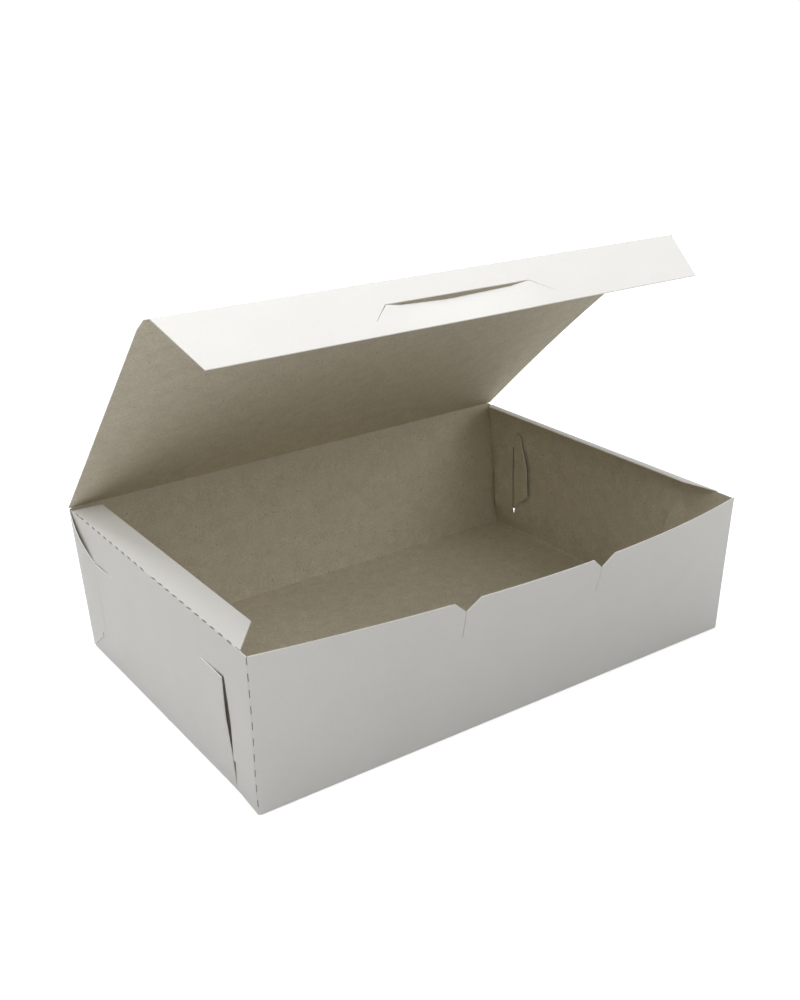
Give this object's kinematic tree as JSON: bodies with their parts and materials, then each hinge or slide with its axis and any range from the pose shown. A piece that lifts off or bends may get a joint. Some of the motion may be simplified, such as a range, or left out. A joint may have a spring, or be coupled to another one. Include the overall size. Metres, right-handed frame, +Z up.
{
  "type": "pastry box",
  "caption": "Shallow rectangular paperboard box for pastries, with a fold-over lid, a tuck flap and slotted corner locks, shown half open.",
  "frame": {"origin": "middle of the base's underside, on the table", "axes": "+X to the right along the front, +Y to the back where the lid folds, +Z up"},
  "size_m": [0.3556, 0.2866, 0.2631],
  "materials": {
    "tray_board": "matte clay-coated white outside, bare grey recycled chipboard inside",
    "lid_board": "matte clay-coated white outside, bare grey recycled chipboard inside",
    "tuck_flap_board": "matte clay-coated white outside, bare grey recycled chipboard inside",
    "dust_flap_board": "matte clay-coated white outside, bare grey recycled chipboard inside"
  },
  "bodies": {
    "tray_body": {"tray": "tray_board"},
    "lid_body": {"lid": "lid_board"},
    "tuck_flap_body": {"tuck_flap": "tuck_flap_board"},
    "left_dust_flap_body": {"left_dust_flap": "dust_flap_board"},
    "right_dust_flap_body": {"right_dust_flap": "dust_flap_board"}
  },
  "joints": [
    {"name": "lid_hinge", "type": "hinge", "parent": "tray_body", "child": "lid_body", "pos_m": [0, 0.1317, 0.1022], "axis": [-1, 0, 0], "range_deg": [-37.9, 76.4]},
    {"name": "tuck_fold", "type": "hinge", "parent": "lid_body", "child": "tuck_flap_body", "pos_m": [0, -0.06681, 0.26066], "axis": [0.9998, -0.0109, -0.0137], "range_deg": [-47.62, 23.65]},
    {"name": "left_dust_fold", "type": "hinge", "parent": "tray_body", "child": "left_dust_flap_body", "pos_m": [-0.1745, 0, 0.1013], "axis": [0, -1, 0], "range_deg": [-21.05, 42.38]},
    {"name": "right_dust_fold", "type": "hinge", "parent": "tray_body", "child": "right_dust_flap_body", "pos_m": [0.1745, 0, 0.1013], "axis": [0, 1, 0], "range_deg": [-21.05, 42.38]}
  ],
  "couplings": [
    {"joint": "tuck_fold", "follows": "lid_hinge", "ratio": -0.6227},
    {"joint": "left_dust_fold", "follows": "lid_hinge", "ratio": 0.5541},
    {"joint": "right_dust_fold", "follows": "lid_hinge", "ratio": 0.5541}
  ]
}
